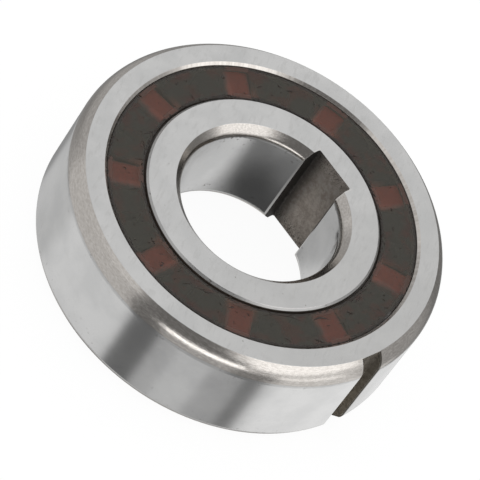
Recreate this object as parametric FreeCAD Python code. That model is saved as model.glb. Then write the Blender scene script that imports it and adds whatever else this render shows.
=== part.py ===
import FreeCAD, Part
import math
import os

# A one-way bearing: a row of sprags and a row of balls share one cage between two keyed rings.
# Millimetres and degrees. The origin is the middle of the bore and +Z runs along the axis, out of
# the front face. Angles are counter-clockwise seen from the front, from +X.

# Envelope
bore_diameter = 20.0
outer_diameter = 47.0
width = 14.0

# Edges of the two rings
front_chamfer = 1.35
rear_chamfer = 1.2
front_edge_round = 3.0
rear_edge_round = 1.0
bore_chamfer = 1.05
bore_edge_round = 1.2
ring_edge_chamfer = 0.25
seat_edge_chamfer = 0.35

# Keyways
inner_key_width = 6.0
inner_key_depth = 1.6
inner_key_angle = 180.0
outer_key_width = 2.6
outer_key_depth = 1.3
outer_key_angle = 87.0
key_floor_round = 0.25
key_edge_break = 0.15

# Tracks of the sprags, which are also the lands beside the ball grooves. The pitch circle lies a
# little outside the middle between bore and outer diameter, because the inner ring is the thicker.
track_gap = 4.12
pitch_shift = 0.3

# Shields
shield_recess = 0.35
shield_thickness = 0.35
shield_seat_depth = 0.36
shield_edge_chamfer = 0.1
shield_ring_gap = 0.2
shield_shoulder_gap = 0.15
inner_step_height = 0.35

# Balls
ball_count = 9
ball_diameter = 6.0
ball_play = 0.04
groove_ratio = 1.04
ball_shield_gap = 0.15

# Cage: a middle ring that carries ball pockets behind and bars in front
cage_angle = 1.15
cage_track_gap = 0.15
pocket_play = 0.12
pocket_web = 0.6
finger_reach = 1.5
finger_slot_width = 2.4
finger_slot_depth = 2.0
bar_width = 3.3
bar_edge_round = 0.4
bar_shield_gap = 0.15

# Sprags
sprags_per_window = 2
sprag_head_radius = 2.4
sprag_foot_radius = 2.0
sprag_head_half_angle = 50.0
sprag_foot_half_angle = 48.0
sprag_lean = 0.15
sprag_waist = 3.0
sprag_track_gap = 0.03
sprag_end_gap = 0.2

# Garter spring and the notches it lies in
spring_wire = 0.9
spring_height_ratio = 0.5
spring_notch_side_gap = 0.2
spring_notch_floor_gap = 0.2
spring_head_cover = 0.65

# Radii and heights that follow from the sizes above
bore_radius = bore_diameter / 2
outer_radius = outer_diameter / 2
face_z = width / 2
pitch_radius = (bore_radius + outer_radius) / 2 + pitch_shift
inner_track_radius = pitch_radius - track_gap / 2
outer_track_radius = pitch_radius + track_gap / 2
ball_radius = ball_diameter / 2
groove_radius = ball_radius * groove_ratio
seat_radius = outer_track_radius + shield_seat_depth
shelf_z = face_z - shield_recess - shield_thickness
inner_step_radius = inner_track_radius - inner_step_height
inner_shoulder_z = shelf_z - shield_shoulder_gap
ball_z = -shelf_z + ball_shield_gap + ball_radius
pocket_radius = ball_radius + pocket_play
cage_inner_radius = inner_track_radius + cage_track_gap
cage_outer_radius = outer_track_radius - cage_track_gap
cage_web_top = ball_z + pocket_radius + pocket_web
bar_top = shelf_z - bar_shield_gap
sprag_bottom = cage_web_top + sprag_end_gap
sprag_top = shelf_z - sprag_end_gap
spring_radius = spring_wire / 2
spring_z = sprag_bottom + (sprag_top - sprag_bottom) * spring_height_ratio
spring_ring_radius = outer_track_radius - spring_head_cover - spring_radius
notch_floor_radius = spring_ring_radius - spring_radius - spring_notch_floor_gap
notch_width = spring_wire + 2 * spring_notch_side_gap
window_step = 360.0 / ball_count

AXIS = FreeCAD.Vector(0, 0, 1)
CENTRE = FreeCAD.Vector(0, 0, 0)


def save(shape, node):
    """Writes one node's solid."""
    shape.exportStep("parts/" + node + ".step")


def at(radius, z):
    """A point of a half section, in the plane through the axis."""
    return FreeCAD.Vector(radius, 0, z)


def turned(points):
    """A ring whose half section is the polygon through the points."""
    wire = Part.makePolygon(points + [points[0]])
    return Part.Face(wire).revolve(CENTRE, AXIS, 360).Solids[0]


def washer(inner, outer, bottom, top):
    """A plain ring with a rectangular section."""
    height = top - bottom
    base = FreeCAD.Vector(0, 0, bottom)
    disc = Part.makeCylinder(outer, height, base)
    return disc.cut(Part.makeCylinder(inner, height, base))


def spun(shape, angle):
    """A copy turned about the axis of the bearing."""
    copy = shape.copy()
    copy.rotate(CENTRE, AXIS, angle)
    return copy


def circle_edges(solid, radius, z):
    """The round edges of a ring at one radius and height."""
    found = []
    for edge in solid.Edges:
        curve = edge.Curve
        if not isinstance(curve, Part.Circle):
            continue
        if abs(curve.Radius - radius) < 1e-4 and abs(curve.Center.z - z) < 1e-4:
            found.append(edge)
    return found


def key_cutter(key_width, floor_radius, mouth_radius, angle):
    """A bar that cuts a keyway. Its flat floor is at floor_radius, with round corners, and it flares at
    the ring's surface, at mouth_radius, so that the long edges of the keyway are broken."""
    side = 1 if mouth_radius > floor_radius else -1
    half = key_width / 2
    mouth = math.sqrt(mouth_radius ** 2 - half ** 2)
    open_end = mouth + side * half
    open_half = 2 * half + key_edge_break
    section = [
        FreeCAD.Vector(floor_radius, -half, -width),
        FreeCAD.Vector(floor_radius, half, -width),
        FreeCAD.Vector(mouth - side * key_edge_break, half, -width),
        FreeCAD.Vector(open_end, open_half, -width),
        FreeCAD.Vector(open_end, -open_half, -width),
        FreeCAD.Vector(mouth - side * key_edge_break, -half, -width),
    ]
    outline = Part.makePolygon(section + [section[0]])
    bar = Part.Face(outline).extrude(FreeCAD.Vector(0, 0, 2 * width))
    corners = [
        edge
        for edge in bar.Edges
        if abs(edge.CenterOfMass.x - floor_radius) < 1e-4 and abs(edge.CenterOfMass.z) < 1e-4
    ]
    return spun(bar.makeFillet(key_floor_round, corners), angle)


def ball_groove(centre_radius):
    """The torus that grinds a ball groove into either ring."""
    return Part.makeTorus(centre_radius, groove_radius, FreeCAD.Vector(0, 0, ball_z))


def make_outer_ring():
    """Keyed outer ring with a shield seat at each side, the sprag track and the ball groove."""
    seat_edge_radius = seat_radius + seat_edge_chamfer
    seat_edge_z = face_z - seat_edge_chamfer
    ring = turned([
        at(seat_edge_radius, face_z),
        at(outer_radius - front_chamfer, face_z),
        at(outer_radius, face_z - front_chamfer),
        at(outer_radius, -face_z + rear_chamfer),
        at(outer_radius - rear_chamfer, -face_z),
        at(seat_edge_radius, -face_z),
        at(seat_radius, -seat_edge_z),
        at(seat_radius, -shelf_z),
        at(outer_track_radius, -shelf_z),
        at(outer_track_radius, shelf_z),
        at(seat_radius, shelf_z),
        at(seat_radius, seat_edge_z),
    ])
    ring = ring.makeFillet(front_edge_round, circle_edges(ring, outer_radius, face_z - front_chamfer))
    ring = ring.makeFillet(rear_edge_round, circle_edges(ring, outer_radius, -face_z + rear_chamfer))
    floor_radius = outer_radius - outer_key_depth
    ring = ring.cut(key_cutter(outer_key_width, floor_radius, outer_radius, outer_key_angle))
    groove_centre = pitch_radius + ball_radius + ball_play - groove_radius
    return ring.cut(ball_groove(groove_centre)).Solids[0]


def make_inner_ring():
    """Keyed inner ring with the sprag track, the ball groove and a step under each shield's lip."""
    edge_radius = inner_step_radius - ring_edge_chamfer
    edge_z = face_z - ring_edge_chamfer
    chamfer_z = face_z - bore_chamfer
    ring = turned([
        at(bore_radius + bore_chamfer, face_z),
        at(edge_radius, face_z),
        at(inner_step_radius, edge_z),
        at(inner_step_radius, inner_shoulder_z),
        at(inner_track_radius, inner_shoulder_z),
        at(inner_track_radius, -inner_shoulder_z),
        at(inner_step_radius, -inner_shoulder_z),
        at(inner_step_radius, -edge_z),
        at(edge_radius, -face_z),
        at(bore_radius + bore_chamfer, -face_z),
        at(bore_radius, -chamfer_z),
        at(bore_radius, chamfer_z),
    ])
    bore_edges = circle_edges(ring, bore_radius, chamfer_z) + circle_edges(ring, bore_radius, -chamfer_z)
    ring = ring.makeFillet(bore_edge_round, bore_edges)
    floor_radius = bore_radius + inner_key_depth
    ring = ring.cut(key_cutter(inner_key_width, floor_radius, bore_radius, inner_key_angle))
    groove_centre = pitch_radius - ball_radius - ball_play + groove_radius
    return ring.cut(ball_groove(groove_centre)).Solids[0]


def make_shield(side):
    """Thin ring pressed into the outer ring's seat. side is 1 at the front and -1 at the rear."""
    lip_radius = inner_step_radius + shield_ring_gap
    outside_z = shelf_z + shield_thickness
    chamfer_z = outside_z - shield_edge_chamfer
    return turned([
        at(lip_radius, side * shelf_z),
        at(seat_radius, side * shelf_z),
        at(seat_radius, side * chamfer_z),
        at(seat_radius - shield_edge_chamfer, side * outside_z),
        at(lip_radius + shield_edge_chamfer, side * outside_z),
        at(lip_radius, side * chamfer_z),
    ])


def spring_notch():
    """The groove around the sprags and bars that the garter spring lies in."""
    bottom = spring_z - notch_width / 2
    return washer(notch_floor_radius, outer_track_radius + 1, bottom, bottom + notch_width)


def make_cage():
    """One moulding: bars in front hold the sprags apart, pockets behind snap over the balls."""
    finger_tip = ball_z - finger_reach
    cage = washer(cage_inner_radius, cage_outer_radius, finger_tip, cage_web_top)
    slot_length = outer_track_radius - inner_track_radius
    bar_blank = Part.makeBox(
        slot_length,
        bar_width,
        bar_top - ball_z,
        FreeCAD.Vector(inner_track_radius, -bar_width / 2, ball_z),
    )
    bar_edges = [
        edge
        for edge in bar_blank.Edges
        if abs(edge.CenterOfMass.z - bar_top) < 1e-4 and abs(edge.CenterOfMass.y) > 1e-4
    ]
    bar_blank = bar_blank.makeFillet(bar_edge_round, bar_edges)
    bar_limits = washer(cage_inner_radius, cage_outer_radius, ball_z, bar_top)
    bar = bar_blank.common(bar_limits)
    finger_slot = Part.makeBox(
        slot_length,
        finger_slot_width,
        finger_slot_depth,
        FreeCAD.Vector(inner_track_radius, -finger_slot_width / 2, finger_tip),
    )
    pocket = Part.makeSphere(pocket_radius, FreeCAD.Vector(pitch_radius, 0, ball_z))
    bar_angles = [cage_angle + window_step * place for place in range(ball_count)]
    cage = cage.multiFuse([spun(bar, angle) for angle in bar_angles])
    cuts = [spun(finger_slot, angle) for angle in bar_angles]
    cuts += [spun(pocket, angle + window_step / 2) for angle in bar_angles]
    cuts.append(spring_notch())
    return cage.cut(cuts).removeSplitter().Solids[0]


def make_ball(angle):
    """One ball, centred on the pitch circle."""
    ball = Part.makeSphere(ball_radius, FreeCAD.Vector(pitch_radius, 0, ball_z))
    return spun(ball, angle)


def arc_about(centre, radius, middle, half_angle):
    """Start, middle and end of an arc about a centre in a plane across the axis."""
    points = []
    for angle in (middle - half_angle, middle, middle + half_angle):
        turn = math.radians(angle)
        points.append(centre + FreeCAD.Vector(radius * math.cos(turn), radius * math.sin(turn), 0))
    return points


def three_point_edge(points):
    """The arc through three points."""
    return Part.Arc(points[0], points[1], points[2]).toShape()


def make_sprag(angle):
    """One sprag. Its head and foot are arcs about centres that lean apart, so it is taller across the
    gap when its head turns counter-clockwise, and wedges there. The outline is drawn at +X."""
    head_reach = outer_track_radius - sprag_track_gap - sprag_head_radius
    foot_reach = inner_track_radius + sprag_track_gap + sprag_foot_radius
    head_centre = FreeCAD.Vector(math.sqrt(head_reach ** 2 - sprag_lean ** 2), -sprag_lean, sprag_bottom)
    foot_centre = FreeCAD.Vector(math.sqrt(foot_reach ** 2 - sprag_lean ** 2), sprag_lean, sprag_bottom)
    head = arc_about(head_centre, sprag_head_radius, 0, sprag_head_half_angle)
    foot = arc_about(foot_centre, sprag_foot_radius, 180, sprag_foot_half_angle)
    left_waist = FreeCAD.Vector(pitch_radius, sprag_waist / 2, sprag_bottom)
    right_waist = FreeCAD.Vector(pitch_radius, -sprag_waist / 2, sprag_bottom)
    outline = Part.Wire([
        three_point_edge(head),
        three_point_edge([head[2], left_waist, foot[0]]),
        three_point_edge(foot),
        three_point_edge([foot[2], right_waist, head[0]]),
    ])
    sprag = Part.Face(outline).extrude(FreeCAD.Vector(0, 0, sprag_top - sprag_bottom))
    return spun(sprag.cut(spring_notch()).Solids[0], angle)


def make_garter_spring():
    """The closed ring of a fine coil spring, shown by the outside of its coils."""
    return Part.makeTorus(spring_ring_radius, spring_radius, FreeCAD.Vector(0, 0, spring_z))


def sprag_angles():
    """The places of the sprags, evenly spread over each window between two bars."""
    bar_half_angle = math.degrees(math.asin(bar_width / 2 / pitch_radius))
    window = window_step - 2 * bar_half_angle
    cell = window / sprags_per_window
    angles = []
    for place in range(ball_count):
        start = cage_angle + window_step * place + bar_half_angle
        for sprag in range(sprags_per_window):
            angles.append(start + cell * (sprag + 0.5))
    return angles


save(make_outer_ring(), "outer_ring")
save(make_inner_ring(), "inner_ring")
save(make_shield(1), "front_shield")
save(make_shield(-1), "rear_shield")
save(make_cage(), "cage")
save(make_garter_spring(), "garter_spring")
for number in range(ball_count):
    save(make_ball(cage_angle + window_step * (number + 0.5)), "ball_" + str(number + 1))
for number, place in enumerate(sprag_angles()):
    save(make_sprag(place), "sprag_" + str(number + 1).zfill(2))
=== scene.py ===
import math
import random

import bpy
from mathutils import Matrix, Vector


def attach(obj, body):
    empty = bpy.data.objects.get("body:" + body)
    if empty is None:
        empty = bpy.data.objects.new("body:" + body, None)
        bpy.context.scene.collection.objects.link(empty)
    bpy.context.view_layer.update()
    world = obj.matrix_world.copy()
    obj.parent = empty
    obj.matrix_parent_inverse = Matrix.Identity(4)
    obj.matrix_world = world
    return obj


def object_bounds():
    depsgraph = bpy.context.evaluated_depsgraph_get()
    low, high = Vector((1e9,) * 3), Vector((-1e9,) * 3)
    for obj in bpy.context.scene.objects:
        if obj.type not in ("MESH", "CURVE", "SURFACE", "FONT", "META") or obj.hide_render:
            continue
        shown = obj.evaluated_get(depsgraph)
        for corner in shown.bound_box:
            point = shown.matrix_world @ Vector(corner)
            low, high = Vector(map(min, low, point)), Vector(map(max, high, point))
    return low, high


# Dresses a packed one-way bearing: two keyed steel rings, a smoky shield each side, and a red cage,
# sprags and balls that show dimly through the shields. Blender's own lengths are metres. Materials
# measure the object in millimetres. The bearing lies on its rear face and +Z comes out of the front.

MM = 0.001

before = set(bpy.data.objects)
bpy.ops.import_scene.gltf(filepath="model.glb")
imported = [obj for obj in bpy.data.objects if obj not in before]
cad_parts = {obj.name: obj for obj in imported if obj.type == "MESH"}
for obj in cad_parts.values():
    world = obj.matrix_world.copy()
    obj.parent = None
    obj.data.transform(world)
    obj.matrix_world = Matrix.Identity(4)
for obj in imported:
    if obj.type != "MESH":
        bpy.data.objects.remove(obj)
cad_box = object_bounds()


def reach(node):
    """Least and greatest distance from the axis, and least and greatest height, in millimetres."""
    points = [vertex.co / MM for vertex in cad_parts[node].data.vertices]
    radii = [math.hypot(point.x, point.y) for point in points]
    heights = [point.z for point in points]
    return min(radii), max(radii), min(heights), max(heights)


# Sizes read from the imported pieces
OUTER_RADIUS = reach("outer_ring")[1]
FACE_Z = reach("outer_ring")[3]
BORE_RADIUS = reach("inner_ring")[0]
SHIELD_INNER, SHIELD_OUTER, SHIELD_BACK_Z, SHIELD_FRONT_Z = reach("front_shield")

# Edges of the rings and the gap inside the shields, as the CAD cuts them
FRONT_CHAMFER = 1.35
REAR_CHAMFER = 1.2
SEAT_EDGE = 0.35
BORE_CHAMFER = 1.05
RING_EDGE_CHAMFER = 0.25
SHIELD_GAP = 0.2

# Radius where the inner ring's flat face ends, and depth of the shields below the faces
RING_EDGE_RADIUS = SHIELD_INNER - SHIELD_GAP - RING_EDGE_CHAMFER
SHIELD_DEPTH = FACE_Z - SHIELD_FRONT_Z

# How far the beige turned finish reaches from each face
FRONT_TURNED = 2.17
REAR_TURNED = 1.4
BORE_TURNED = 1.25

# Direction of the side of the outer ring's turned finish that is painted darker, as painted shade of darker
# reflections
REFLECTION_SHADE_SIDE = math.radians(-76)

# Keyways: direction, half width, and the distances from the axis between which their walls and floor
# lie. Then their colours, how much painted shade darkens the walls, the painted light and shade of the
# cut near the front face, deep down and beside its far wall, how dark and how wide the band beside its
# far edge is, and how pitted the ground steel is.
OUTER_KEY = {
    "angle": 87.0,
    "half_width": 1.3,
    "low": 22.17,
    "high": 24.0,
    "dark": (0.120, 0.104, 0.080),
    "light": (0.190, 0.170, 0.138),
    "wall_shade": 0.0,
    "face_shade": 1.15,
    "deep_shade": 1.9,
    "far_shade": 1.0,
    "far_edge_dark": 0.9,
    "far_edge_dark_width": 0.30,
    "pitting": 0.3,
}
INNER_KEY = {
    "angle": 180.0,
    "half_width": 3.0,
    "low": 9.0,
    "high": 11.63,
    "dark": (0.280, 0.240, 0.208),
    "light": (0.420, 0.382, 0.342),
    "wall_shade": 0.6,
    "face_shade": 0.76,
    "deep_shade": 1.75,
    "far_shade": 0.2,
    "far_edge_dark": 0.0,
    "far_edge_dark_width": 0.0,
    "pitting": 0.7,
}

# Colours of the ground steel: dark and light, the side of the faces away from the light, streaks and
# flecks on the faces, and pits
GROUND_DARK = (0.650, 0.650, 0.646)
GROUND_LIGHT = (0.716, 0.714, 0.708)
GROUND_SHADED = (0.590, 0.585, 0.575)
GROUND_STREAK = (0.560, 0.555, 0.545)
GROUND_FLECK = (0.300, 0.285, 0.265)
GROUND_PIT = (0.120, 0.100, 0.085)

# Colours of the turned steel: dark and light, its painted shade where reflections are darker, and the line
# where it ends
TURNED_DARK = (0.640, 0.602, 0.564)
TURNED_LIGHT = (0.800, 0.762, 0.720)
TURNED_REFLECTION_SHADE = (0.150, 0.140, 0.125)
TURNED_BORDER = (0.190, 0.165, 0.140)

# Colours in and beside the keyways, with the painted shade of their walls and the painted highlight
# on their edges, and of the grease with painted shade beside the shields
KEY_SPECK = (0.030, 0.026, 0.021)
KEY_WALL_PAINTED_SHADE = (0.022, 0.020, 0.017)
KEY_RIM_HIGHLIGHT = (0.800, 0.780, 0.750)
KEY_FAR_EDGE_DARK = (0.100, 0.085, 0.066)
STEEL_GREASE_AND_SHADE = (0.060, 0.048, 0.038)

# Colours of the smoky shields: dark and light, reddish patches, stains by the rims, the red painted light
# of a bar's lit side round it, right over a bar, the grease and painted shade at the rims, and where a
# bar runs under a rim
SHIELD_DARK = (0.080, 0.076, 0.062)
SHIELD_LIGHT = (0.096, 0.090, 0.073)
SHIELD_PATCH = (0.125, 0.068, 0.052)
SHIELD_STAIN = (0.115, 0.060, 0.050)
SHIELD_BAR_SIDE_LIGHT = (0.200, 0.100, 0.070)
SHIELD_OVER_BAR = (0.068, 0.056, 0.042)
SHIELD_RIM_GREASE_AND_SHADE = (0.024, 0.019, 0.015)
SHIELD_BAR_END = (0.098, 0.050, 0.037)

# Dark and light colours of the oil, the cage and the steel pieces inside, and the grease with painted
# shade on the cage
OIL_DARK = (0.010, 0.008, 0.006)
OIL_LIGHT = (0.045, 0.030, 0.022)
CAGE_GREASE_AND_SHADE = (0.022, 0.016, 0.013)
CAGE_DARK = (0.275, 0.028, 0.008)
CAGE_LIGHT = (0.370, 0.040, 0.013)
SPRAG_DARK = (0.006, 0.006, 0.006)
SPRAG_LIGHT = (0.012, 0.012, 0.011)
BALL_DARK = (0.50, 0.50, 0.49)
BALL_LIGHT = (0.58, 0.58, 0.57)
SPRING_DARK = (0.030, 0.028, 0.025)
SPRING_LIGHT = (0.060, 0.057, 0.052)

# Roughness, from and to where it varies: the ground faces, the ground steel elsewhere, the turned
# steel, the keyways, grease on the steel, the shields, the oil and the cage
FACE_ROUGH = (0.20, 0.30)
GROUND_ROUGH = 0.16
TURNED_ROUGH = (0.13, 0.24)
KEY_ROUGH = 0.62
GREASE_ROUGH = 0.35
SHIELD_ROUGH = (0.24, 0.36)
OIL_ROUGH = (0.06, 0.22)
CAGE_ROUGH = (0.35, 0.6)

# How metallic the keyways are, and how much a shield covers in its open part and at its rims
KEY_METAL = 0.12
SHIELD_COVER = (0.54, 0.88)

# Depths in millimetres of the marks in the ground steel, in the turned steel and in the keyways
GROUND_RELIEF = 0.001
TURNED_RELIEF = 0.006
KEY_RELIEF = 0.06

# Bars of the cage: number, angle of the first, and width. Then the angles on either side of a bar's
# middle between which the shield carries red painted light from the bar's lit side, and between which
# it is dark over it.
BAR_COUNT = 9
BAR_ANGLE = 1.15
BAR_WIDTH = 3.3
BAR_SIDE_LIGHT_ANGLES = (-6.5, 5.0)
OVER_BAR_ANGLES = (-4.2, 3.6)

# Camera in the frame of the part: its place in millimetres, the directions to its right and up, and
# its lens in millimetres for a picture 36 mm wide
CAMERA_PLACE = (311.548, 129.296, 379.715)
CAMERA_RIGHT = (-0.71405, 0.58360, 0.38671)
CAMERA_UP = (-0.33854, -0.77132, 0.53893)
CAMERA_LENS = 326.45

# Card far under the hole that the bore mirrors: its radius and depth in millimetres, then its levels.
# It is bright towards -X and less so at that side's end, dark in the middle and dim towards +X, both
# a little lighter towards +Y, and grey towards -Y.
CARD_RADIUS = 24.0
CARD_DEPTH = 16.0
CARD_BRIGHT = 0.74
CARD_END = 0.56
CARD_DARK = 0.07
CARD_DIM = 0.22
CARD_LIFT = 0.14
CARD_GREY = 0.50

# Places on the card, in millimetres along X or Y, between which one level goes over to the next
END_TO_BRIGHT_X = (-18.0, -10.0)
BRIGHT_TO_DARK_X = (-8.8, -2.4)
DARK_TO_DIM_X = (1.0, 9.0)
PLAIN_TO_LIFTED_Y = (4.0, 11.0)
PLAIN_TO_GREY_Y = (-3.5, -7.5)

# Ridges in the oil film of the front shield: angles from and to in degrees, radii at the start, middle
# and end, and thickness
OIL_RIDGES = (
    (50.5, 67.5, 15.75, 15.10, 15.90, 0.13),
    (55.0, 62.0, 15.35, 15.15, 15.40, 0.10),
    (73.0, 81.0, 16.00, 15.75, 16.35, 0.12),
    (95.5, 108.0, 15.45, 15.10, 15.50, 0.12),
    (97.0, 103.0, 15.75, 15.60, 15.65, 0.08),
    (90.5, 92.5, 16.10, 16.35, 16.90, 0.12),
    (15.0, 18.0, 17.30, 16.60, 16.30, 0.10),
    (22.0, 27.0, 16.00, 15.95, 15.70, 0.10),
    (35.0, 37.5, 16.40, 16.10, 16.00, 0.10),
    (70.5, 74.0, 18.30, 18.60, 18.95, 0.12),
    (-67.0, -60.0, 14.95, 15.40, 16.20, 0.10),
    (-57.0, -52.0, 15.90, 15.40, 15.10, 0.10),
    (-47.5, -46.0, 14.90, 15.60, 16.30, 0.08),
    (-31.5, -30.5, 15.10, 16.00, 16.80, 0.08),
)

# Levels of light: on the part from all sides, and in its reflections where no panel stands
AMBIENT = 0.9
STUDIO = 0.75

# How much light the floor gives back, what it glows beyond plain white, and half its side in metres
FLOOR_ALBEDO = 0.08
FLOOR_LIFT = 0.01
FLOOR_HALF = 3.0


class Graph:
    """Short calls for the nodes of one material or world."""

    def __init__(self, tree):
        self.tree = tree
        tree.nodes.clear()

    def put(self, socket, value):
        """Links a socket to another, or gives it a plain value."""
        if isinstance(value, bpy.types.NodeSocket):
            self.tree.links.new(value, socket)
        else:
            socket.default_value = value

    def node(self, kind, inputs=None, **settings):
        """A node with its settings and named inputs."""
        made = self.tree.nodes.new("ShaderNode" + kind)
        for name, value in settings.items():
            setattr(made, name, value)
        for name, value in (inputs or {}).items():
            self.put(made.inputs[name], value)
        return made

    def math(self, operation, first, second=0.0, third=0.0):
        """One sum on numbers."""
        inputs = {0: first, 1: second, 2: third}
        return self.node("Math", inputs, operation=operation).outputs[0]

    def product(self, *factors):
        """Several numbers multiplied."""
        result = factors[0]
        for factor in factors[1:]:
            result = self.math("MULTIPLY", result, factor)
        return result

    def rise(self, value, start, end, low=0.0, high=1.0):
        """Goes smoothly from low at start to high at end."""
        inputs = {"Value": value, "From Min": start, "From Max": end, "To Min": low, "To Max": high}
        return self.node("MapRange", inputs, interpolation_type="SMOOTHSTEP").outputs[0]

    def between(self, value, low, high, soft):
        """1 from low to high, falling to 0 over the soft length outside them."""
        return self.product(self.rise(value, low - soft, low), self.rise(value, high + soft, high))

    def mix(self, factor, first, second):
        """A number between two others."""
        inputs = {0: factor, 2: first, 3: second}
        return self.node("Mix", inputs, data_type="FLOAT").outputs[0]

    def mix_colour(self, factor, first, second):
        """A colour between two others."""
        made = self.node("Mix", {0: factor}, data_type="RGBA")
        for socket, colour in ((made.inputs[6], first), (made.inputs[7], second)):
            self.put(socket, colour if isinstance(colour, bpy.types.NodeSocket) else (*colour, 1.0))
        return made.outputs[2]

    def vector(self, x, y, z):
        """A vector from three numbers."""
        return self.node("CombineXYZ", {0: x, 1: y, 2: z}).outputs[0]

    def noise(self, vector, scale, detail=2.0, roughness=0.5):
        """Smooth noise about 0.5."""
        inputs = {"Vector": vector, "Scale": scale, "Detail": detail, "Roughness": roughness}
        return self.node("TexNoise", inputs).outputs[0]

    def place(self):
        """Position on the piece in millimetres, with its distance from the axis and its direction."""
        coordinates = self.node("TexCoord").outputs["Object"]
        scaled = self.node("VectorMath", {0: coordinates, 3: 1 / MM}, operation="SCALE").outputs[0]
        parts = self.node("SeparateXYZ", {0: scaled}).outputs
        x, y, z = parts[0], parts[1], parts[2]
        squares = self.math("ADD", self.product(x, x), self.product(y, y))
        radius = self.math("SQRT", squares)
        safe = self.math("MAXIMUM", radius, 0.001)
        return {
            "point": scaled,
            "x": x,
            "y": y,
            "z": z,
            "radius": radius,
            "cosine": self.math("DIVIDE", x, safe),
            "sine": self.math("DIVIDE", y, safe),
            "height": self.math("ABSOLUTE", z),
        }

    def around(self, place, profile, stretch, fineness):
        """Coordinates that run long around the axis and fine along the profile, for turned marks."""
        return self.vector(
            self.product(place["cosine"], stretch),
            self.product(place["sine"], stretch),
            self.product(profile, fineness),
        )

    def bump(self, height, depth):
        """Relief of a depth in millimetres."""
        inputs = {"Height": height, "Distance": depth * MM, "Strength": 1.0}
        return self.node("Bump", inputs).outputs[0]

    def surface(self, shader, kind="OutputMaterial"):
        """Ends the tree."""
        self.node(kind, {"Surface": shader})

    def finish(self, colour, roughness, relief, depth, metallic=0.0, cover=1.0):
        """Ends the tree in a finish whose relief has a depth in millimetres. Cover is 0 where it is
        clear."""
        inputs = {
            "Base Color": colour,
            "Metallic": metallic,
            "Roughness": roughness,
            "Alpha": cover,
            "Normal": self.bump(relief, depth),
        }
        self.surface(self.node("BsdfPrincipled", inputs).outputs[0])


def new_material(name):
    """An empty material with its graph."""
    material = bpy.data.materials.new(name)
    material.use_nodes = True
    return material, Graph(material.node_tree)


def towards(graph, place, angle):
    """Cosine of the angle between a point's direction from the axis and another, in radians."""
    return graph.math(
        "ADD",
        graph.product(place["cosine"], math.cos(angle)),
        graph.product(place["sine"], math.sin(angle)),
    )


def key_position(graph, place, key):
    """Distance along a keyway's direction and distance counter-clockwise from its middle."""
    turn = math.radians(key["angle"])
    along = graph.math(
        "ADD",
        graph.product(place["x"], math.cos(turn)),
        graph.product(place["y"], math.sin(turn)),
    )
    across = graph.math(
        "SUBTRACT",
        graph.product(place["y"], math.cos(turn)),
        graph.product(place["x"], math.sin(turn)),
    )
    return along, across


def key_masks(graph, place, depth, key):
    """Masks of a keyway, of the painted highlight on the edges beside it, and of the dark band beside its
    far edge.
    """
    along, across = key_position(graph, place, key)
    sideways = graph.math("ABSOLUTE", across)
    half = key["half_width"]
    cut = graph.product(
        graph.rise(sideways, half + 0.03, half + 0.01),
        graph.between(along, key["low"], key["high"], 0.02),
        graph.rise(depth, 0.0, 0.02),
    )
    # Painted highlight on the edges beside the keyway.
    rim = graph.product(
        graph.between(sideways, half + 0.02, half + 0.14, 0.05),
        graph.between(along, key["low"] - 0.1, key["high"] + 0.1, 0.1),
    )
    # A dark band beside the far edge of the keyway.
    far_edge_dark = graph.product(
        graph.between(across, half, half + key["far_edge_dark_width"], 0.06),
        graph.between(along, key["low"], key["high"], 0.02),
        graph.rise(depth, 0.0, 0.02, 0.0, key["far_edge_dark"]),
    )
    return cut, rim, far_edge_dark


def key_finish(graph, place, depth, key, specks):
    """Mottled colour of a keyway, with dark specks near the faces, painted shade at its walls and beside
    its far wall, and painted light deeper down.
    """
    across = key_position(graph, place, key)[1]
    half = key["half_width"]
    mottle = graph.noise(place["point"], 1.6, 4.0, 0.65)
    colour = graph.mix_colour(graph.rise(mottle, 0.32, 0.68), key["dark"], key["light"])
    speckled = graph.product(graph.rise(specks, 0.52, 0.62), graph.rise(depth, 2.6, 0.8))
    colour = graph.mix_colour(speckled, colour, KEY_SPECK)
    wall = graph.rise(graph.math("ABSOLUTE", across), half - 0.16, half - 0.03)
    colour = graph.mix_colour(graph.product(wall, key["wall_shade"]), colour, KEY_WALL_PAINTED_SHADE)
    # Painted light and shade: brighter deeper below the face, darker beside the far wall.
    below_face = graph.math("SUBTRACT", FACE_Z, place["z"])
    shade = graph.product(
        graph.rise(below_face, 1.5, 10.5, key["face_shade"], key["deep_shade"]),
        graph.rise(across, half, 0.2 * half, key["far_shade"], 1.0),
    )
    return graph.node("VectorMath", {0: colour, 3: shade}, operation="SCALE").outputs[0]


def ground_finish(graph, place, depth, face, pitting):
    """Colour of ground steel: cloudy, with streaks, flecks and painted shade on the faces, and pits beyond
    the edges.
    """
    cloud = graph.noise(place["point"], 0.22, 3.0, 0.55)
    slanted = graph.vector(
        graph.math("ADD", graph.product(place["x"], 0.5), graph.product(place["y"], 0.3)),
        graph.math("SUBTRACT", graph.product(place["y"], 1.6), place["x"]),
        graph.product(place["z"], 0.5),
    )
    streaks = graph.noise(slanted, 1.0, 4.0, 0.65)
    flecks = graph.noise(place["point"], 1.7, 4.0, 0.6)
    colour = graph.mix_colour(graph.rise(cloud, 0.32, 0.66), GROUND_DARK, GROUND_LIGHT)
    # Painted shade on the side of the faces away from the light.
    shaded = graph.product(graph.rise(place["sine"], 0.1, 1.0), face, 0.5)
    colour = graph.mix_colour(shaded, colour, GROUND_SHADED)
    streaked = graph.product(graph.rise(streaks, 0.50, 0.66), face, 0.35)
    colour = graph.mix_colour(streaked, colour, GROUND_STREAK)
    flecked = graph.product(graph.rise(flecks, 0.70, 0.76), face)
    colour = graph.mix_colour(flecked, colour, GROUND_FLECK)
    pitted = graph.product(
        graph.rise(flecks, 0.60, 0.70),
        graph.rise(depth, 5.0, 1.2, 0.0, pitting),
        graph.rise(depth, 0.01, 0.03),
    )
    return graph.mix_colour(pitted, colour, GROUND_PIT)


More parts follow.
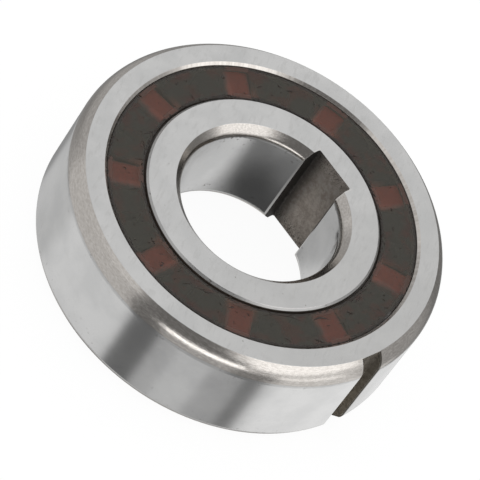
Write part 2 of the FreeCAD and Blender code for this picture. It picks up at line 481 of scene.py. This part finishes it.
def bearing_steel(name, zones, key):
    """Ground bearing steel whose edges keep their beige turned finish, with a dark cut keyway. Zones
    gives the masks of the turned finish, its border, the painted shade of its darker reflections and the
    grease with painted shade, and the distance along the turned profile."""
    material, graph = new_material(name)
    place = graph.place()
    depth = graph.math("SUBTRACT", FACE_Z, place["height"])
    wander = graph.noise(graph.around(place, place["z"], 9.0, 1.5), 1.0, 4.0)
    wander = graph.math("SUBTRACT", wander, 0.5)
    turned, border, profile, reflection_shade, grease_and_shade = zones(graph, place, depth, wander)
    cut, rim, far_edge_dark = key_masks(graph, place, depth, key)
    face = graph.rise(depth, 0.03, 0.01)
    turned_lines = graph.noise(graph.around(place, profile, 9.0, 6.0), 1.0, 3.0, 0.6)
    turned_spots = graph.noise(graph.around(place, profile, 42.0, 5.0), 1.0, 4.0, 0.65)
    ground_lines = graph.noise(graph.around(place, place["z"], 14.0, 9.0), 1.0, 2.0, 0.7)
    key_specks = graph.noise(place["point"], 5.5, 3.0, 0.7)

    ground_colour = ground_finish(graph, place, depth, face, key["pitting"])
    turned_colour = graph.mix_colour(graph.rise(turned_spots, 0.34, 0.66), TURNED_DARK, TURNED_LIGHT)
    # Painted shade: the turned steel is darker on the side where its reflections are darker.
    turned_colour = graph.mix_colour(graph.product(reflection_shade, 0.55), turned_colour, TURNED_REFLECTION_SHADE)
    colour = graph.mix_colour(turned, ground_colour, turned_colour)
    colour = graph.mix_colour(graph.product(border, 0.75), colour, TURNED_BORDER)
    # Painted highlight on the edges beside the keyway.
    colour = graph.mix_colour(graph.product(rim, 0.5), colour, KEY_RIM_HIGHLIGHT)
    # A dark band beside the far edge of the keyway.
    colour = graph.mix_colour(far_edge_dark, colour, KEY_FAR_EDGE_DARK)
    colour = graph.mix_colour(cut, colour, key_finish(graph, place, depth, key, key_specks))
    # Grease and painted shade on the steel beside and under the shields.
    colour = graph.mix_colour(grease_and_shade, colour, STEEL_GREASE_AND_SHADE)

    face_rough = graph.mix(graph.noise(place["point"], 1.1, 4.0, 0.6), *FACE_ROUGH)
    ground_rough = graph.mix(face, GROUND_ROUGH, face_rough)
    turned_rough = graph.mix(turned_spots, *TURNED_ROUGH)
    rough = graph.mix(turned, ground_rough, turned_rough)
    rough = graph.mix(cut, rough, KEY_ROUGH)
    rough = graph.mix(grease_and_shade, rough, GREASE_ROUGH)
    metal = graph.math("SUBTRACT", graph.mix(cut, 1.0, KEY_METAL), grease_and_shade)

    fine = graph.product(ground_lines, graph.mix(turned, GROUND_RELIEF, 0.0))
    lines = graph.product(turned_lines, graph.mix(turned, 0.0, TURNED_RELIEF))
    mottle = graph.product(key_specks, graph.mix(cut, 0.0, KEY_RELIEF))
    relief = graph.math("ADD", graph.math("ADD", fine, lines), mottle)
    graph.finish(colour, rough, relief, 1.0, metallic=metal)
    return material


def outer_ring_zones(graph, place, depth, wander):
    """Turned finish on the chamfers, the band beside them and the shield seats. It has a frayed border
    and, at the front, a side painted darker as painted shade of darker reflections. Grease with painted
    shade lies in the shield seats."""
    front = graph.rise(place["z"], -1.0, 1.0)
    chamfer = graph.mix(front, REAR_CHAMFER, FRONT_CHAMFER)
    band = graph.math("ADD", graph.mix(front, REAR_TURNED, FRONT_TURNED), graph.product(wander, front, 0.3))
    inside_edge = graph.math("SUBTRACT", place["radius"], graph.math("SUBTRACT", OUTER_RADIUS, chamfer))
    past_band = graph.math("SUBTRACT", depth, band)
    outside = graph.product(
        graph.rise(inside_edge, -0.02, 0.03),
        graph.rise(depth, 0.0, 0.03),
        graph.rise(past_band, 0.12, -0.12),
    )
    seat = graph.product(
        graph.rise(place["radius"], SHIELD_OUTER + SEAT_EDGE + 0.01, SHIELD_OUTER + SEAT_EDGE - 0.02),
        graph.rise(depth, 1.2, 1.0),
    )
    border = graph.product(graph.between(past_band, -0.06, 0.0, 0.08), graph.mix(front, 0.3, 0.15))
    profile = graph.math("SUBTRACT", place["radius"], place["height"])
    # Grease and painted shade in the shield seats, below the shield's face.
    grease_and_shade = graph.product(
        graph.rise(place["radius"], SHIELD_OUTER + 0.06, SHIELD_OUTER),
        graph.rise(depth, SHIELD_DEPTH - 0.12, SHIELD_DEPTH - 0.02),
    )
    # Painted shade of darker reflections on one side at the front.
    reflection_shade_side = graph.rise(towards(graph, place, REFLECTION_SHADE_SIDE), 0.78, 1.0)
    reflection_shade = graph.product(reflection_shade_side, graph.rise(depth, 0.4, 1.2), front)
    return graph.math("MAXIMUM", outside, seat), border, profile, reflection_shade, grease_and_shade


def inner_ring_zones(graph, place, depth, wander):
    """Turned finish on the bore chamfers and their rounded edge, with a dark line that ends it and a side
    painted darker as painted shade of darker reflections. Grease with painted shade lies beside the
    shields, and thinly on the chamfer at the edge of the faces."""
    band = graph.math("ADD", BORE_TURNED, graph.product(wander, 0.2))
    past_band = graph.math("SUBTRACT", depth, band)
    chamfer_radius = BORE_RADIUS + BORE_CHAMFER
    inside = graph.rise(place["radius"], chamfer_radius + 0.02, chamfer_radius - 0.03)
    turned = graph.product(inside, graph.rise(depth, 0.0, 0.03), graph.rise(past_band, 0.04, -0.04))
    border = graph.product(inside, graph.between(past_band, -0.05, 0.02, 0.05), 0.6)
    profile = graph.math("ADD", place["radius"], place["height"])
    # Painted shade of darker reflections on one side of the bore.
    reflection_shade_side = graph.math("SUBTRACT", place["cosine"], graph.product(place["sine"], 0.35))
    reflection_shade = graph.rise(reflection_shade_side, 0.28, 0.55, 0.24, 1.0)
    # Grease and painted shade beside the shields, lighter on the chamfer at the edge of the faces.
    grease_and_shade = graph.product(
        graph.rise(place["radius"], RING_EDGE_RADIUS, RING_EDGE_RADIUS + 0.05),
        graph.rise(depth, 0.20, 0.30, 0.35, 1.0),
    )
    return turned, border, profile, reflection_shade, grease_and_shade


def angle_from_bar(graph, place):
    """Signed angle in degrees from the middle of the nearest bar of the cage."""
    angle = graph.math("DEGREES", graph.math("ARCTAN2", place["y"], place["x"]))
    step = 360.0 / BAR_COUNT
    return graph.math("WRAP", graph.math("SUBTRACT", angle, BAR_ANGLE), step / 2, -step / 2)


def shield_plastic():
    """Smoky sheet that lets the cage show through, with red painted light of the bars' lit sides near them
    and grease with painted shade at its rims. Only its outward face is tinted."""
    material, graph = new_material("smoky_shield")
    place = graph.place()
    inner = graph.math("SUBTRACT", place["radius"], SHIELD_INNER)
    outer = graph.math("SUBTRACT", SHIELD_OUTER, place["radius"])
    edge = graph.math("MINIMUM", inner, outer)
    cloud = graph.noise(place["point"], 0.42, 3.0, 0.6)
    stain = graph.noise(place["point"], 0.55, 3.0, 0.6)
    grain = graph.noise(place["point"], 2.4, 3.0, 0.6)
    rim = graph.rise(graph.math("SUBTRACT", edge, graph.product(stain, 0.5)), 0.35, -0.05)
    stained = graph.product(graph.rise(stain, 0.48, 0.62), graph.rise(edge, 2.0, 0.5), 0.7)
    patch = graph.product(graph.rise(cloud, 0.50, 0.64), graph.between(edge, 0.9, 2.4, 0.8), 0.55)
    colour = graph.mix_colour(graph.rise(grain, 0.35, 0.65), SHIELD_DARK, SHIELD_LIGHT)
    colour = graph.mix_colour(patch, colour, SHIELD_PATCH)
    colour = graph.mix_colour(stained, colour, SHIELD_STAIN)
    from_bar = angle_from_bar(graph, place)
    # Painted light: the lit side of each bar, seen through the sheet, painted red round it.
    glow = graph.product(
        graph.between(from_bar, *BAR_SIDE_LIGHT_ANGLES, 2.5),
        graph.rise(place["radius"], 17.6, 15.2),
        0.55,
    )
    colour = graph.mix_colour(glow, colour, SHIELD_BAR_SIDE_LIGHT)
    over_bar = graph.between(from_bar, *OVER_BAR_ANGLES, 1.1)
    bar_end = graph.product(over_bar, graph.rise(edge, 0.85, 0.6), graph.rise(edge, 0.05, 0.2))
    colour = graph.mix_colour(graph.product(over_bar, 0.8), colour, SHIELD_OVER_BAR)
    # Grease and painted shade at the rims, where the sheet meets the rings.
    colour = graph.mix_colour(rim, colour, SHIELD_RIM_GREASE_AND_SHADE)
    colour = graph.mix_colour(graph.product(bar_end, 0.8), colour, SHIELD_BAR_END)
    tint = graph.mix(graph.math("MAXIMUM", rim, graph.product(bar_end, 0.7)), *SHIELD_COVER)
    outward = graph.rise(place["height"], SHIELD_BACK_Z + 0.1, SHIELD_FRONT_Z - 0.11)
    relief = graph.math(
        "ADD",
        graph.product(grain, graph.mix(graph.rise(edge, 1.4, 0.3), 0.004, 0.05)),
        graph.product(stain, 0.04),
    )
    rough = graph.mix(grain, *SHIELD_ROUGH)
    graph.finish(colour, rough, relief, 1.0, cover=graph.product(tint, outward))
    return material


def oil_film():
    """Thin dark oil that catches the light."""
    material, graph = new_material("oil_film")
    place = graph.place()
    grain = graph.noise(place["point"], 3.0, 3.0, 0.6)
    colour = graph.mix_colour(grain, OIL_DARK, OIL_LIGHT)
    graph.finish(colour, graph.mix(grain, *OIL_ROUGH), grain, 0.03)
    return material


def cage_plastic():
    """Red-brown moulding with grease and painted shade that darken the edges of its bars and everything
    deep.
    """
    material, graph = new_material("red_cage")
    place = graph.place()
    turn = graph.math("SINE", graph.math("RADIANS", angle_from_bar(graph, place)))
    sideways = graph.product(graph.math("ABSOLUTE", turn), place["radius"])
    grease = graph.noise(place["point"], 0.9, 3.0, 0.6)
    fibres = graph.noise(place["point"], 3.5, 3.0, 0.6)
    uneven = graph.math("ADD", sideways, graph.product(graph.math("SUBTRACT", grease, 0.5), 0.9))
    # Grease and painted shade: dark at the edges of the bars and everything deep inside.
    clean_and_lit = graph.rise(uneven, BAR_WIDTH / 2 + 0.34, BAR_WIDTH / 2 - 0.76)
    clean_and_lit = graph.product(clean_and_lit, graph.rise(place["z"], 2.0, 5.0, 0.1, 1.0))
    red = graph.mix_colour(graph.rise(fibres, 0.3, 0.7), CAGE_DARK, CAGE_LIGHT)
    colour = graph.mix_colour(clean_and_lit, CAGE_GREASE_AND_SHADE, red)
    graph.finish(colour, graph.mix(grease, *CAGE_ROUGH), fibres, 0.02)
    return material


def oiled_steel(name, dark, light, roughness):
    """Dark hardened steel under a film of oil."""
    material, graph = new_material(name)
    place = graph.place()
    film = graph.noise(place["point"], 1.4, 4.0, 0.6)
    lines = graph.noise(place["point"], 9.0, 2.0, 0.5)
    colour = graph.mix_colour(film, dark, light)
    rough = graph.mix(film, roughness - 0.06, roughness + 0.08)
    graph.finish(colour, rough, lines, 0.004, metallic=1.0)
    return material


def floor_white():
    """Floor that gives back little light, but that the camera sees as white apart from the soft
    shadow under the part."""
    material, graph = new_material("floor")
    path = graph.node("LightPath").outputs
    seen = graph.math("ADD", path["Is Camera Ray"], path["Is Transmission Ray"])
    seen = graph.math("ADD", seen, path["Is Glossy Ray"])
    diffuse = graph.node("BsdfDiffuse", {"Color": (FLOOR_ALBEDO,) * 3 + (1.0,)}).outputs[0]
    lift = 1.0 - FLOOR_ALBEDO * AMBIENT + FLOOR_LIFT
    glow = graph.node("Emission", {"Color": (1.0,) * 4, "Strength": graph.product(seen, lift)}).outputs[0]
    graph.surface(graph.node("AddShader", {0: diffuse, 1: glow}).outputs[0])
    return material


# Bright and dark panels round the part, as polished steel sees them: azimuth from and to, elevation
# from and to, how softly they end in azimuth and in elevation, and their level. Angles are degrees,
# azimuth counter-clockwise from +X and elevation above the horizon. A later panel covers earlier ones.
PANELS = (
    ((-68, -6), (-42, 32), (9, 9), 0.56),
    ((-128, -80), (-44, 14), (12, 10), 0.40),
    ((-208, -134), (-51, 8), (10, 8), 0.28),
    ((-64, -5), (-90, -46), (5, 4), 0.77),
    ((-112, -88), (-90, -46), (20, 4), 0.60),
    ((-152, -134), (-90, -52), (14, 3), 0.48),
    ((10, 80), (-46, -4), (5, 5), 0.42),
    ((14, 30), (-90, -46), (4, 4), 0.48),
    ((36, 50), (-90, -46), (6, 4), 0.62),
    ((56, 70), (-90, -46), (6, 4), 0.44),
    ((86, 118), (-46, -16), (7, 7), 0.72),
    ((97, 150), (-90, -46), (12, 4), 0.95),
    ((156, 196), (-90, -46), (8, 4), 0.84),
    ((196, 204), (-90, -46), (4, 4), 0.16),
    ((68, 118), (15, 52), (4, 4), 1.28),
    ((82, 118), (3, 13), (6, 3), 0.72),
    ((74, 108), (-9, -1), (5, 3), 1.15),
    ((114, 122), (-12, 2), (5, 4), 0.60),
    ((126, 152), (-26, 16), (7, 7), 0.34),
    ((166, 204), (-30, 4), (8, 8), 0.18),
    ((17, 61), (3, 13), (3, 3), 1.80),
    ((63, 76), (2, 14), (4, 4), 0.50),
    ((60, 76), (-44, -4), (4, 4), 0.22),
    ((76, 82), (-58, -44), (6, 4), 0.20),
    ((2, 62), (17, 26), (5, 3), 0.24),
    ((2, 54), (26, 40), (5, 6), 0.13),
    ((2, 46), (38, 62), (8, 8), 0.16),
    ((0, 16), (-58, 44), (4, 3), 0.15),
    ((-180, 180), (-90, -62), (1, 5), 0.55),
)


def panel_mask(graph, azimuth, elevation, sides, heights, soft):
    """1 inside a panel, falling to 0 beyond its sides and its lower and upper end."""
    middle = (sides[0] + sides[1]) / 2
    half = (sides[1] - sides[0]) / 2
    turn = graph.math("WRAP", graph.math("SUBTRACT", azimuth, middle), 180.0, -180.0)
    across = graph.rise(graph.math("ABSOLUTE", turn), half + soft[0], half)
    return graph.product(across, graph.between(elevation, heights[0], heights[1], soft[1]))


def make_world():
    """White where the camera looks past the part, plain light on it, and panels in its reflections."""
    world = bpy.data.worlds.new("studio")
    world.use_nodes = True
    world.cycles.sampling_method = "NONE"
    bpy.context.scene.world = world
    graph = Graph(world.node_tree)
    direction = graph.node("SeparateXYZ", {0: graph.node("TexCoord").outputs["Generated"]}).outputs
    azimuth = graph.math("DEGREES", graph.math("ARCTAN2", direction[1], direction[0]))
    elevation = graph.math("DEGREES", graph.math("ARCSINE", direction[2]))
    level = STUDIO
    for sides, heights, soft, panel_level in PANELS:
        mask = panel_mask(graph, azimuth, elevation, sides, heights, soft)
        level = graph.mix(mask, level, panel_level)
    path = graph.node("LightPath").outputs
    seen = graph.math("ADD", path["Is Camera Ray"], path["Is Transmission Ray"])
    level = graph.mix(path["Is Glossy Ray"], AMBIENT, level)
    level = graph.mix(seen, level, 1.0)
    background = graph.node("Background", {"Color": (1.0,) * 4, "Strength": level})
    graph.surface(background.outputs[0], "OutputWorld")


def add_mesh(name, corners, faces, material):
    """A mesh object from corners in metres."""
    mesh = bpy.data.meshes.new(name)
    mesh.from_pydata(corners, [], faces)
    mesh.materials.append(material)
    piece = bpy.data.objects.new(name, mesh)
    bpy.context.scene.collection.objects.link(piece)
    return piece


def lay_bead(corners, faces, path, thick):
    """Adds a bead of oil that lies on the front shield along a path of angles, in radians, and radii."""
    sides = 6
    first = len(corners)
    for step, (turn, radius) in enumerate(path):
        share = step / (len(path) - 1)
        swell = thick * (0.08 + math.sin(math.pi * share))
        for side in range(sides):
            angle = math.tau * side / sides
            out = radius + swell * math.cos(angle)
            up = SHIELD_FRONT_Z + 0.7 * swell * math.sin(angle)
            corners.append((out * math.cos(turn) * MM, out * math.sin(turn) * MM, up * MM))
    for step in range(len(path) - 1):
        for side in range(sides):
            here = first + step * sides
            after = (side + 1) % sides
            faces.append((here + side, here + sides + side, here + sides + after, here + after))
    last = first + (len(path) - 1) * sides
    faces.append(tuple(first + side for side in range(sides)))
    faces.append(tuple(last + side for side in reversed(range(sides))))


def add_beads(name, corners, faces, material):
    """One object of oil beads that rides on the outer ring, as the front shield does."""
    beads = add_mesh(name, corners, faces, material)
    beads.data.polygons.foreach_set("use_smooth", [True] * len(faces))
    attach(beads, "outer_ring")


def make_oil_specks(name, radius, spread, slant, count, seed, material):
    """Small lengths of oil near a radius of the front shield. Slant is the most that they lean
    outwards or inwards, in radians."""
    chance = random.Random(seed)
    steps = 7
    corners = []
    faces = []
    for _ in range(count):
        start = chance.uniform(0, math.tau)
        length = chance.uniform(0.15, 0.9) ** 1.5
        middle = radius + chance.gauss(0, spread)
        lean = chance.uniform(-slant, slant)
        path = []
        for step in range(steps):
            along = length * (step / (steps - 1) - 0.5)
            path.append((start + along * math.cos(lean) / radius, middle + along * math.sin(lean)))
        lay_bead(corners, faces, path, chance.uniform(0.04, 0.11))
    add_beads(name, corners, faces, material)


def make_oil_ridges(name, material):
    """Longer ridges where the oil film has drawn together."""
    steps = 17
    corners = []
    faces = []
    for start, end, first_radius, middle_radius, last_radius, thick in OIL_RIDGES:
        path = []
        for step in range(steps):
            share = step / (steps - 1)
            bend = 4 * share * (1 - share) * (middle_radius - (first_radius + last_radius) / 2)
            turn = math.radians(start + (end - start) * share)
            path.append((turn, first_radius + (last_radius - first_radius) * share + bend))
        lay_bead(corners, faces, path, thick)
    add_beads(name, corners, faces, material)


def make_bore_card():
    """Card under the hole that only reflections see. It gives the bore its bright and dark parts."""
    material, graph = new_material("bore_card")
    place = graph.place()
    bright = graph.rise(place["x"], *END_TO_BRIGHT_X, CARD_END, CARD_BRIGHT)
    dark = graph.rise(place["x"], *DARK_TO_DIM_X, CARD_DARK, CARD_DIM)
    dark = graph.math("ADD", dark, graph.rise(place["y"], *PLAIN_TO_LIFTED_Y, 0.0, CARD_LIFT))
    level = graph.mix(graph.rise(place["x"], *BRIGHT_TO_DARK_X), bright, dark)
    level = graph.mix(graph.rise(place["y"], *PLAIN_TO_GREY_Y), level, CARD_GREY)
    graph.surface(graph.node("Emission", {"Color": (1.0,) * 4, "Strength": level}).outputs[0])
    sides = 48
    corners = []
    for side in range(sides):
        turn = math.tau * side / sides
        corners.append((CARD_RADIUS * math.cos(turn) * MM, CARD_RADIUS * math.sin(turn) * MM, 0.0))
    card = add_mesh("bore_card", corners, [tuple(range(sides))], material)
    card.location = (0.0, 0.0, -CARD_DEPTH * MM)
    card.visible_camera = False
    card.visible_diffuse = False
    card.visible_shadow = False
    card.visible_transmission = False


def make_floor():
    """Plain floor that the rear face lies on."""
    corners = [
        (-FLOOR_HALF, -FLOOR_HALF, 0.0),
        (FLOOR_HALF, -FLOOR_HALF, 0.0),
        (FLOOR_HALF, FLOOR_HALF, 0.0),
        (-FLOOR_HALF, FLOOR_HALF, 0.0),
    ]
    floor = add_mesh("floor", corners, [(0, 1, 2, 3)], floor_white())
    floor.location = (0.0, 0.0, cad_box[0].z)
    floor.visible_glossy = False


def make_camera():
    """The photograph's view."""
    camera = bpy.data.objects.new("camera", bpy.data.cameras.new("camera"))
    right = Vector(CAMERA_RIGHT).normalized()
    back = right.cross(Vector(CAMERA_UP)).normalized()
    up = back.cross(right)
    turn = Matrix((right, up, back)).transposed().to_4x4()
    camera.matrix_world = Matrix.Translation(Vector(CAMERA_PLACE) * MM) @ turn
    camera.data.lens = CAMERA_LENS
    camera.data.clip_start = 0.01
    camera.data.clip_end = 100.0
    bpy.context.scene.collection.objects.link(camera)
    bpy.context.scene.camera = camera


def nodes_starting(start):
    """Names of the CAD nodes that start alike."""
    return [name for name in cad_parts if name.startswith(start)]


def dress(nodes, material):
    """Gives CAD nodes their finish."""
    for name in nodes:
        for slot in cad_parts[name].material_slots:
            slot.material = material


dress(["outer_ring"], bearing_steel("outer_ring_steel", outer_ring_zones, OUTER_KEY))
dress(["inner_ring"], bearing_steel("inner_ring_steel", inner_ring_zones, INNER_KEY))
dress(["front_shield", "rear_shield"], shield_plastic())
dress(["cage"], cage_plastic())
dress(nodes_starting("sprag_"), oiled_steel("dark_sprag_steel", SPRAG_DARK, SPRAG_LIGHT, 0.5))
dress(nodes_starting("ball_"), oiled_steel("ball_chrome_steel", BALL_DARK, BALL_LIGHT, 0.14))
dress(["garter_spring"], oiled_steel("garter_spring_steel", SPRING_DARK, SPRING_LIGHT, 0.45))

film = oil_film()
make_oil_specks("outer_oil_specks", SHIELD_OUTER - 0.13, 0.03, 0.1, 150, 3, film)
make_oil_specks("inner_oil_specks", SHIELD_INNER + 0.22, 0.09, 0.3, 190, 8, film)
make_oil_specks("scattered_oil_specks", (SHIELD_INNER + SHIELD_OUTER) / 2, 1.2, 1.6, 110, 5, film)
make_oil_ridges("oil_ridges", film)

make_world()
make_floor()
make_bore_card()
make_camera()

scene = bpy.context.scene
scene.view_settings.view_transform = "Standard"
